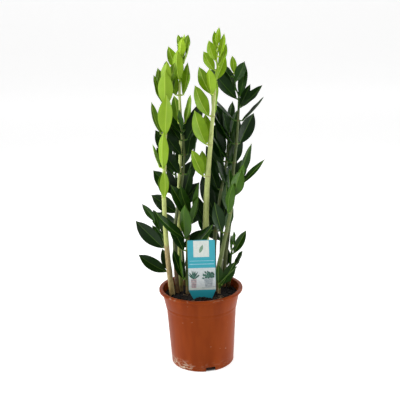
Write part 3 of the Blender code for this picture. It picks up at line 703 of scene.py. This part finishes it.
def make_pot():
    low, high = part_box("pot")
    bm = turned_mesh(pot_profile((high.x - low.x) / 2, high.z - low.z), POT_SEGMENTS)
    pot = new_object("nursery_pot", bm, MATERIALS["pot_plastic"])
    cutter = drain_cutter()
    cut = pot.modifiers.new("drains", "BOOLEAN")
    cut.operation = "DIFFERENCE"
    cut.object = cutter
    bpy.context.view_layer.update()
    graph = bpy.context.evaluated_depsgraph_get()
    pot.data = bpy.data.meshes.new_from_object(pot.evaluated_get(graph))
    pot.modifiers.clear()
    bpy.data.objects.remove(cutter)
    pot.data.shade_smooth()
    pot.data.set_sharp_from_angle(angle=math.radians(38))
    settle(pot, "pot_plastic", "pot")


# ---- The soil ----


def soil_top(x, y, radius, level, tag):
    """The height of the soil's rough surface: crumbs, hollows, and a heap before the tag."""
    place = Vector((x, y, 0))
    share = math.hypot(x, y) / radius
    height = level - 2.6 * MM * smoothstep(0.86, 1, share)
    height += 1.5 * MM * noise.noise(place * 30) + 1.1 * MM * noise.noise(place * 95)
    height += 0.9 * MM * abs(noise.noise(place * 230)) + 0.4 * MM * noise.noise(place * 520)
    heap = Vector((x - tag.x, (y - tag.y + 9 * MM) * 1.3, 0)).length
    return height + 5.5 * MM * math.exp(-((heap / (14 * MM)) ** 2))


def soil_walls():
    """The soil's outer (radius, height) pairs, from its top edge down, read from its node."""
    widest = defaultdict(float)
    for vertex in frame["nodes"]["soil"].data.vertices:
        height = round(vertex.co.z, 4)
        widest[height] = max(widest[height], math.hypot(vertex.co.x, vertex.co.y))
    top = max(widest)
    least = 0.5 * max(widest.values())
    pairs = [(r, z) for z, r in widest.items() if z < top and r > least]
    return sorted(pairs, key=lambda pair: -pair[1])


def make_soil():
    walls = soil_walls()
    radius, level = walls[0][0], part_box("soil")[1].z
    tag_low, tag_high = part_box("plant_tag")
    tag = (tag_low + tag_high) / 2
    bm = bmesh.new()
    rings = [[bm.verts.new((0, 0, soil_top(0, 0, radius, level, tag)))]]
    turns = [2 * math.pi * k / SOIL_SEGMENTS for k in range(SOIL_SEGMENTS)]
    for circle in range(1, SOIL_CIRCLES + 1):
        reach = radius * circle / SOIL_CIRCLES
        ring = []
        for turn in turns:
            x, y = reach * math.cos(turn), reach * math.sin(turn)
            ring.append(bm.verts.new((x, y, soil_top(x, y, radius, level, tag))))
        rings.append(ring)
    for reach, height in walls[1:]:
        rings.append([bm.verts.new((reach * math.cos(t), reach * math.sin(t), height)) for t in turns])
    rings.append([bm.verts.new((0, 0, walls[-1][1]))])
    bridge(bm, rings, SOIL_SEGMENTS)
    settle(new_object("potting_soil", bm, MATERIALS["potting_soil"]), "potting_soil", "soil")
    make_crumbs(radius, level, tag)
    make_fibres(radius, level, tag)


def make_crumbs(radius, level, tag):
    """Loose crumbs on the soil, thicker on the heap before the tag and along the pot's wall."""
    draw = random.Random("crumbs")
    bm = bmesh.new()
    for number in range(CRUMB_COUNT):
        if number % 4 == 0:
            x = tag.x + draw.gauss(0, 12) * MM
            y = tag.y - 4 * MM - abs(draw.gauss(0, 9)) * MM
        else:
            reach, turn = radius * 0.97 * draw.random() ** 0.5, draw.uniform(0, 2 * math.pi)
            x, y = reach * math.cos(turn), reach * math.sin(turn)
        if math.hypot(x, y) > radius * 0.97:
            continue
        size = draw.choice((0.9, 1.2, 1.6, 2.3)) * MM
        stretch = Vector((draw.uniform(0.8, 1.5), draw.uniform(0.7, 1.2), draw.uniform(0.5, 0.9)))
        heading = Matrix.Rotation(draw.uniform(*ANY_TURN), 4, "Z")
        spin = heading @ Matrix.Rotation(draw.uniform(-0.5, 0.5), 4, "X")
        place = Vector((x, y, soil_top(x, y, radius, level, tag) + 0.2 * size))
        made = bmesh.ops.create_icosphere(bm, subdivisions=1, radius=size)["verts"]
        for vertex in made:
            shape = 1 + 0.35 * noise.noise(vertex.co * 900 + Vector((number, 0, 0)))
            vertex.co = place + spin @ (vertex.co * stretch * shape)
    settle(new_object("soil_crumbs", bm, MATERIALS["potting_soil"]), "potting_soil")


def make_fibres(radius, level, tag):
    """Bits of root and straw that lie on the soil beside the tag and elsewhere."""
    draw = random.Random("fibres")
    bm = leaf_mesh()
    for number in range(FIBRE_COUNT):
        if number < FIBRES_BY_TAG:
            x, y = tag.x + draw.uniform(12, 40) * MM, tag.y + draw.uniform(-14, 10) * MM
        else:
            reach, turn = radius * 0.9 * draw.random() ** 0.5, draw.uniform(0, 2 * math.pi)
            x, y = reach * math.cos(turn), reach * math.sin(turn)
        heading = draw.uniform(0, 2 * math.pi)
        line = []
        for step in range(7):
            line.append((Vector((x, y, soil_top(x, y, radius, level, tag) + 0.9 * MM)), 0.35 * MM))
            heading += draw.uniform(-0.5, 0.5)
            x, y = x + 1.7 * MM * math.cos(heading), y + 1.7 * MM * math.sin(heading)
        if math.hypot(x, y) < radius * 0.95:
            add_tube(bm, line, draw)
    settle(new_object("soil_fibres", bm, MATERIALS["fibre"]), "potting_soil")


# ---- The tag ----


class Print:
    """Flat printed shapes on the tag's front, each a thin slab a little proud of the last."""

    def __init__(self):
        low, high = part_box("plant_tag")
        self.middle, self.top, self.front = (low.x + high.x) / 2, high.z, low.y

    def shape(self, name, outlines, material, layer):
        """outlines are (across, down) points in millimetres from the tag's top middle."""
        bm = bmesh.new()
        far = self.front + 0.02 * MM
        for number, outline in enumerate(outlines):
            near = self.front - 0.05 * MM * layer - 0.004 * MM * number
            sides = []
            for depth in (near, far):
                corners = [(self.middle + x * MM, depth, self.top - z * MM) for x, z in outline]
                sides.append([bm.verts.new(corner) for corner in corners])
            prism(bm, *sides)
        settle(new_object(name, bm, MATERIALS[material], smooth=False), "tag_plastic")


def box_outline(x0, z0, x1, z1):
    return [(x0, z0), (x1, z0), (x1, z1), (x0, z1)]


def leaf_outline(x, z, length, width, lean):
    """A small pointed leaf drawn from its foot at (x, z), leaning in degrees from upright."""
    turn = math.radians(lean)
    along, across = (math.sin(turn), -math.cos(turn)), (math.cos(turn), math.sin(turn))
    half = ((0, 0.12), (0.3, 0.9), (0.55, 1), (0.8, 0.6))
    points = []
    for t, w in [*half, (1, 0), *((t, -w) for t, w in reversed(half))]:
        points.append((x + along[0] * length * t + across[0] * width / 2 * w,
                       z + along[1] * length * t + across[1] * width / 2 * w))
    return points


def make_tag():
    """The CAD tag with a print of plain shapes: one leaf, two lines and a picture of two pots."""
    tag = frame["nodes"]["plant_tag"]
    tag.data.materials.clear()
    tag.data.materials.append(MATERIALS["tag_plastic"])
    sheet = Print()
    sheet.shape("tag_white_square", [box_outline(-15.5, 1.0, 15.0, 34.6)], "print_white", 1)
    sheet.shape("tag_plain_leaf", [leaf_outline(-3.5, 26.0, 18.0, 6.5, 22)], "print_sage", 2)
    sheet.shape("tag_plain_lines", [box_outline(-24, 42.0, 24, 43.0), box_outline(-24, 48.5, 24, 50.0)],
                "print_pale_blue", 1)
    sheet.shape("tag_picture", [box_outline(-26.6, 57.3, 26.6, 99.0)], "print_pale", 1)
    sheet.shape("tag_picture_floor", [box_outline(-26.6, 96.6, 26.6, 103.0)], "print_white", 2)
    draw = random.Random("tag print")
    leaves = [leaf_outline(-16.5 + draw.uniform(-2.5, 2.5), 80, draw.uniform(9, 20), 3.0, lean)
              for lean in range(-56, 57, 11)]
    for lean in range(-86, 87, 4):
        x, z = 12.8 + draw.uniform(-9, 9), 78 + draw.uniform(-9, 2)
        leaves.append(leaf_outline(x, z, draw.uniform(5, 8), 3.6, lean))
    sheet.shape("tag_picture_leaves", leaves, "print_leaf", 3)
    left_pot = [(-22.0, 80), (-11.0, 80), (-12.0, 98.5), (-21.0, 98.5)]
    right_pot = [(3.6, 79), (22.0, 79), (19.2, 98.5), (6.4, 98.5)]
    sheet.shape("tag_picture_left_pot", [left_pot], "print_clay", 4)
    sheet.shape("tag_picture_right_pot", [right_pot], "print_pot", 4)
    bands = [box_outline(-21.4 + 0.2 * i, 82 + 4 * i, -11.6 - 0.2 * i, 83.2 + 4 * i) for i in range(4)]
    bands += [box_outline(4.6 + 0.5 * i, 82 + 4 * i, 21.0 - 0.5 * i, 83.0 + 4 * i) for i in range(4)]
    bands += [box_outline(-1, 98.4, 6, 99.2), box_outline(19.5, 96.8, 26.4, 97.6)]
    sheet.shape("tag_picture_bands", bands, "print_band", 5)


# ---- Materials ----


class Nodes:
    """Short ways to add and join shader nodes."""

    def __init__(self, name):
        self.material = bpy.data.materials.new(name)
        self.material.use_nodes = True
        self.tree = self.material.node_tree
        self.shader = self.tree.nodes["Principled BSDF"]

    def link(self, value, socket):
        if isinstance(value, bpy.types.NodeSocket):
            self.tree.links.new(value, socket)
        else:
            socket.default_value = value

    def add(self, kind, output=0, settings=None, **inputs):
        node = self.tree.nodes.new(kind)
        for key, value in (settings or {}).items():
            setattr(node, key, value)
        for key, value in inputs.items():
            name = key.replace("_", " ")
            self.link(value, node.inputs[int(name[1:]) if name[1:].isdigit() else name])
        return node.outputs[output]

    def math(self, operation, one, other=0.0, third=0.0):
        return self.add("ShaderNodeMath", 0, {"operation": operation}, i0=one, i1=other, i2=third)

    def mix(self, share, one, other):
        settings = {"data_type": "RGBA", "blend_type": "MIX"}
        return self.add("ShaderNodeMix", 2, settings, i0=share, i6=one, i7=other)

    def noise(self, vector, scale, detail=3.0):
        return self.add("ShaderNodeTexNoise", 0, Vector=vector, Scale=scale, Detail=detail)

    def ramp(self, value, low, high):
        """0 below low, 1 above high, smooth between."""
        settings = {"interpolation_type": "SMOOTHSTEP"}
        node = self.add("ShaderNodeMapRange", 0, settings, Value=value)
        self.link(low, node.node.inputs[1])
        self.link(high, node.node.inputs[2])
        return node

    def place(self):
        """The object's own coordinates, which are the world's here, in metres."""
        return self.add("ShaderNodeTexCoord", 3)

    def attribute(self, name):
        vector = self.add("ShaderNodeAttribute", 1, {"attribute_name": name})
        split = self.tree.nodes.new("ShaderNodeSeparateXYZ")
        self.tree.links.new(vector, split.inputs[0])
        return vector, *split.outputs

    def bump(self, height, distance, strength=1.0):
        node = self.tree.nodes.new("ShaderNodeBump")
        node.inputs["Distance"].default_value = distance
        node.inputs["Strength"].default_value = strength
        self.tree.links.new(height, node.inputs["Height"])
        return node.outputs[0]

    def finish(self, colour, roughness, normal=None, **fixed):
        self.link(colour, self.shader.inputs["Base Color"])
        self.link(roughness, self.shader.inputs["Roughness"])
        if normal:
            self.link(normal, self.shader.inputs["Normal"])
        for key, value in fixed.items():
            self.shader.inputs[key.replace("_", " ")].default_value = value
        return self.material


def leaf_material(name, deep, fresh, pale, rib, roughness):
    """A waxy leaf: mottled green, a pale midrib, fine slanting veins and a paler underside."""
    n = Nodes(name)
    place, across, along, _ = n.attribute("leaf_place")
    _, chance, tone, under = n.attribute("leaf_look")
    aside = n.math("ABSOLUTE", across)
    mottle = n.noise(place, 0.09)
    fine = n.noise(place, 0.8)
    warp = n.math("MULTIPLY_ADD", mottle, 2.0, n.math("MULTIPLY_ADD", aside, -0.9, along))
    vein = n.math("SINE", n.math("MULTIPLY", warp, 2 * math.pi / 3.4))
    vein = n.ramp(vein, 0.55, 1.0)
    streak = n.math("SINE", n.math("MULTIPLY_ADD", mottle, 3.0, n.math("MULTIPLY", warp, 2 * math.pi / 1.1)))
    blend = n.math("MULTIPLY_ADD", mottle, 0.5, n.math("MULTIPLY_ADD", chance, 0.35, -0.3))
    blend = n.math("ADD", blend, n.math("MULTIPLY_ADD", tone, -0.55, 0.6))
    colour = n.mix(n.ramp(blend, 0.0, 1.0), deep, fresh)
    colour = n.mix(n.math("MULTIPLY", vein, 0.16), colour, pale)
    colour = n.mix(n.math("MULTIPLY", n.ramp(fine, 0.45, 0.75), 0.12), colour, deep)
    midrib = n.math("SUBTRACT", 1.0, n.ramp(aside, 0.25, 0.9))
    colour = n.mix(n.math("MULTIPLY", midrib, 0.65), colour, rib)
    colour = n.mix(n.math("MULTIPLY", n.ramp(under, 0.4, 0.6), 0.45), colour, pale)
    stalk = n.ramp(n.math("MULTIPLY", under, -1.0), 0.5, 0.9)
    colour = n.mix(n.math("MULTIPLY", stalk, 0.75), colour, rib)
    grain = n.math("MULTIPLY_ADD", streak, 0.12, n.math("MULTIPLY", fine, 0.5))
    height = n.math("MULTIPLY_ADD", vein, -0.5, grain)
    rough = n.math("MULTIPLY_ADD", fine, 0.16, roughness)
    return n.finish(colour, rough, n.bump(height, 0.00022, 0.5), Specular_IOR_Level=0.2)


def stem_material(name, base, body, fleck, sheath, pale_sheath):
    """A fleshy stem: a gradient up from its papery foot, dark flecks, and brown scars."""
    n = Nodes(name)
    place = n.place()
    _, scar, height, over_sheath = n.attribute("leaf_look")
    long = n.add("ShaderNodeVectorMath", 0, {"operation": "MULTIPLY"}, i0=place, i1=(1, 1, 0.22))
    cloudy = n.noise(place, 60)
    streaks = n.noise(long, 900)
    spots = n.ramp(n.noise(long, 480, 1.0), 0.60, 0.70)
    low = n.math("ADD", height, n.math("MULTIPLY", cloudy, 0.06))
    colour = n.mix(n.ramp(low, 0.20, 0.42), base, body)
    colour = n.mix(n.math("MULTIPLY", n.ramp(cloudy, 0.35, 0.7), 0.3), colour, base)
    colour = n.mix(n.math("MULTIPLY", n.ramp(streaks, 0.4, 0.7), 0.22), colour, fleck)
    colour = n.mix(n.math("MULTIPLY", spots, 0.55), colour, fleck)
    torn = n.math("MULTIPLY_ADD", n.noise(long, 130), 0.05, over_sheath)
    papery = n.math("SUBTRACT", 1.0, n.ramp(torn, 0.022, 0.030))
    dry = n.mix(n.ramp(streaks, 0.35, 0.65), sheath, pale_sheath)
    colour = n.mix(n.math("MULTIPLY", papery, 0.85), colour, dry)
    colour = n.mix(n.math("MULTIPLY", scar, 0.6), colour, (0.20, 0.09, 0.03, 1))
    bump = n.bump(n.math("ADD", streaks, n.math("MULTIPLY", spots, 0.6)), 0.00025, 0.6)
    return n.finish(colour, n.math("MULTIPLY_ADD", streaks, 0.2, 0.38), bump, Coat_Weight=0.05)


def pot_material():
    """Terracotta-coloured plastic: faint flow streaks, moulding rings, dust and pale scuffs."""
    n = Nodes("pot_plastic")
    place = n.place()
    split = n.tree.nodes.new("ShaderNodeSeparateXYZ")
    n.tree.links.new(place, split.inputs[0])
    x, y, z = split.outputs
    tall = n.add("ShaderNodeVectorMath", 0, {"operation": "MULTIPLY"}, i0=place, i1=(1, 1, 0.12))
    flow = n.noise(tall, 45)
    grain = n.noise(place, 900)
    cloud = n.noise(place, 22)
    colour = n.mix(n.ramp(flow, 0.3, 0.7), (0.20, 0.032, 0.004, 1), (0.26, 0.046, 0.006, 1))
    colour = n.mix(n.math("MULTIPLY", n.ramp(cloud, 0.5, 0.75), 0.25), colour, (0.18, 0.022, 0.004, 1))
    scratch = n.add("ShaderNodeVectorMath", 0, {"operation": "MULTIPLY"}, i0=place, i1=(1, 1, 2.2))
    chips = n.ramp(n.noise(scratch, 120, 6.0), 0.46, 0.62)
    foot = n.math("SUBTRACT", 1.0, n.ramp(z, 0.006, 0.026))
    left = n.ramp(n.math("MULTIPLY", x, -1.0), 0.010, 0.040)
    front = n.ramp(n.math("MULTIPLY", y, -1.0), 0.010, 0.030)
    scuffed = n.math("MULTIPLY", foot, n.math("MULTIPLY_ADD", n.math("MULTIPLY", left, front), 0.85, 0.10))
    rim = n.math("MULTIPLY", n.ramp(z, 0.1535, 0.1565), n.math("MULTIPLY", front, 0.45))
    rim = n.math("MULTIPLY", rim, n.ramp(n.noise(place, 35), 0.5, 0.62))
    worn = n.math("MULTIPLY", chips, n.math("MAXIMUM", scuffed, rim))
    marks = n.math("MULTIPLY", n.ramp(n.noise(scratch, 95, 2.0), 0.73, 0.78), 0.3)
    worn = n.math("MAXIMUM", worn, marks)
    colour = n.mix(worn, colour, (0.52, 0.43, 0.32, 1))
    rough = n.math("MULTIPLY_ADD", cloud, 0.14, n.math("MULTIPLY_ADD", worn, 0.25, 0.30))
    height = n.math("MULTIPLY_ADD", flow, 1.5, n.math("MULTIPLY", grain, 0.25))
    return n.finish(colour, rough, n.bump(height, 0.0002, 0.5), Specular_IOR_Level=0.12, IOR=1.3)


def soil_material():
    """Peat: black-brown crumbs with paler fibres, and hollows darkened by painted shade."""
    n = Nodes("potting_soil")
    place = n.place()
    coarse, fine = n.noise(place, 160, 4.0), n.noise(place, 700, 3.0)
    # Darker where the coarse noise is low, which is also where the bump sinks: painted shade in the hollows
    colour = n.mix(n.ramp(coarse, 0.35, 0.7), (0.003, 0.002, 0.002, 1), (0.015, 0.010, 0.007, 1))
    specks = n.ramp(n.noise(place, 420, 2.0), 0.66, 0.72)
    colour = n.mix(n.math("MULTIPLY", specks, 0.4), colour, (0.098, 0.064, 0.041, 1))
    height = n.math("ADD", coarse, n.math("MULTIPLY", fine, 0.5))
    rough = n.math("MULTIPLY_ADD", fine, 0.25, 0.7)
    return n.finish(colour, rough, n.bump(height, 0.0012, 0.8), Specular_IOR_Level=0.2)


def fibre_material():
    n = Nodes("fibre")
    streak = n.noise(n.place(), 600)
    colour = n.mix(streak, (0.20, 0.11, 0.05, 1), (0.42, 0.28, 0.15, 1))
    return n.finish(colour, 0.8, n.bump(streak, 0.0002))


def tag_material():
    """Turquoise card plastic with a fine upright hatching and a soft satin gloss."""
    n = Nodes("tag_plastic")
    place = n.place()
    split = n.tree.nodes.new("ShaderNodeSeparateXYZ")
    n.tree.links.new(place, split.inputs[0])
    hatch = n.math("SINE", n.math("MULTIPLY", split.outputs[0], 2 * math.pi / 0.0016))
    dots = n.math("SINE", n.math("MULTIPLY", split.outputs[2], 2 * math.pi / 0.0024))
    pattern = n.math("MULTIPLY", n.ramp(hatch, -0.2, 0.6), n.math("MULTIPLY_ADD", dots, 0.15, 0.5))
    colour = n.mix(pattern, (0.020, 0.36, 0.45, 1), (0.036, 0.44, 0.54, 1))
    soft = n.noise(place, 300)
    return n.finish(colour, n.math("MULTIPLY_ADD", soft, 0.1, 0.32), n.bump(soft, 0.00005))


def print_material(name, colour, other):
    n = Nodes(name)
    grain = n.noise(n.place(), 260, 4.0)
    return n.finish(n.mix(n.ramp(grain, 0.35, 0.65), colour, other), 0.38)


MATERIALS = {
    "young_leaf": leaf_material(
        "young_leaf", (0.085, 0.19, 0.002, 1), (0.28, 0.48, 0.006, 1), (0.40, 0.61, 0.035, 1),
        (0.55, 0.70, 0.12, 1), 0.32),
    "middle_leaf": leaf_material(
        "middle_leaf", (0.005, 0.032, 0.001, 1), (0.029, 0.094, 0.002, 1), (0.075, 0.18, 0.009, 1),
        (0.17, 0.30, 0.035, 1), 0.27),
    "old_leaf": leaf_material(
        "old_leaf", (0.002, 0.014, 0.001, 1), (0.014, 0.060, 0.002, 1), (0.042, 0.12, 0.008, 1),
        (0.08, 0.17, 0.02, 1), 0.25),
    "young_stem": stem_material(
        "young_stem", (0.40, 0.43, 0.10, 1), (0.52, 0.60, 0.20, 1), (0.21, 0.26, 0.045, 1),
        (0.20, 0.12, 0.045, 1), (0.40, 0.28, 0.12, 1)),
    "middle_stem": stem_material(
        "middle_stem", (0.12, 0.15, 0.030, 1), (0.13, 0.19, 0.035, 1), (0.04, 0.065, 0.012, 1),
        (0.15, 0.085, 0.03, 1), (0.24, 0.16, 0.07, 1)),
    "old_stem": stem_material(
        "old_stem", (0.085, 0.10, 0.022, 1), (0.075, 0.11, 0.020, 1), (0.025, 0.04, 0.008, 1),
        (0.12, 0.045, 0.018, 1), (0.24, 0.13, 0.055, 1)),
    "pot_plastic": pot_material(),
    "potting_soil": soil_material(),
    "fibre": fibre_material(),
    "tag_plastic": tag_material(),
    "print_white": print_material("print_white", (0.70, 0.76, 0.70, 1), (0.64, 0.70, 0.66, 1)),
    "print_sage": print_material("print_sage", (0.22, 0.36, 0.24, 1), (0.17, 0.30, 0.19, 1)),
    "print_pale_blue": print_material("print_pale_blue", (0.32, 0.62, 0.72, 1), (0.26, 0.56, 0.68, 1)),
    "print_pale": print_material("print_pale", (0.58, 0.65, 0.66, 1), (0.68, 0.73, 0.73, 1)),
    "print_leaf": print_material("print_leaf", (0.012, 0.07, 0.055, 1), (0.05, 0.17, 0.12, 1)),
    "print_band": print_material("print_band", (0.20, 0.26, 0.28, 1), (0.34, 0.40, 0.42, 1)),
    "print_clay": print_material("print_clay", (0.42, 0.30, 0.31, 1), (0.55, 0.44, 0.44, 1)),
    "print_pot": print_material("print_pot", (0.33, 0.39, 0.42, 1), (0.48, 0.54, 0.56, 1)),
}


# ---- Floor, light and camera ----


def make_stage():
    """A white floor that sweeps up into a white wall far behind."""
    bm = bmesh.new()
    profile = [(-30.0, 0.0), (5.0, 0.0), *[(5.0 + 2 * math.sin(t), 2 - 2 * math.cos(t))
               for t in (math.radians(a) for a in range(10, 91, 10))], (7.0, 7.0)]
    rows = [[bm.verts.new((x, y, z)) for x in (-12, 12)] for y, z in profile]
    for one, other in zip(rows, rows[1:]):
        bm.faces.new([one[0], one[1], other[1], other[0]])
    n = Nodes("studio_white")
    place = n.place()
    reach = n.add("ShaderNodeVectorMath", 1, {"operation": "LENGTH"}, i0=place)
    # No glow in the disc under the pot: a painted shadow, seen through the drain notches
    glow = n.math("MULTIPLY", n.ramp(reach, *PAINTED_SHADOW_DISC), FLOOR_GLOW)
    n.link((1, 1, 1, 1), n.shader.inputs["Emission Color"])
    n.link(glow, n.shader.inputs["Emission Strength"])
    n.finish((0.6, 0.6, 0.6, 1), 0.9)
    new_object("studio_floor", bm, n.material)


def add_softbox(name, place, size, energy):
    light = bpy.data.lights.new(name, "AREA")
    light.shape = "RECTANGLE"
    light.size, light.size_y = size
    light.energy = energy
    obj = bpy.data.objects.new(name, light)
    obj.location = place
    obj.rotation_euler = (Vector(LIGHTS_AIM) - Vector(place)).to_track_quat("-Z", "Y").to_euler()
    bpy.context.scene.collection.objects.link(obj)


def make_lights():
    world = bpy.data.worlds.new("studio")
    world.use_nodes = True
    world.node_tree.nodes["Background"].inputs["Color"].default_value = (1, 1, 1, 1)
    world.node_tree.nodes["Background"].inputs["Strength"].default_value = WORLD_STRENGTH
    bpy.context.scene.world = world
    for name, (place, size, energy) in SOFTBOXES.items():
        add_softbox(name, place, size, energy)


def make_camera():
    data = bpy.data.cameras.new("camera")
    data.lens = CAMERA_LENS
    data.sensor_width = CAMERA_SENSOR
    camera = bpy.data.objects.new("camera", data)
    ahead = Vector((0, math.cos(CAMERA_PITCH), -math.sin(CAMERA_PITCH)))
    right = Vector((1, 0, 0))
    up = right.cross(ahead)
    roll_right = right * math.cos(CAMERA_ROLL) + up * math.sin(CAMERA_ROLL)
    roll_up = up * math.cos(CAMERA_ROLL) - right * math.sin(CAMERA_ROLL)
    turn = Matrix((roll_right, roll_up, -ahead)).transposed()
    camera.matrix_world = Matrix.Translation(CAMERA_PLACE) @ turn.to_4x4()
    bpy.context.scene.collection.objects.link(camera)
    bpy.context.scene.camera = camera


for stem_node in sorted(frame["nodes"]):
    if stem_node.endswith("_stem"):
        make_frond(stem_node.removesuffix("_stem"))
make_pot()
make_soil()
make_tag()
make_stage()
make_lights()
make_camera()
bpy.context.scene.view_settings.view_transform = "Standard"

bpy.context.view_layer.update()
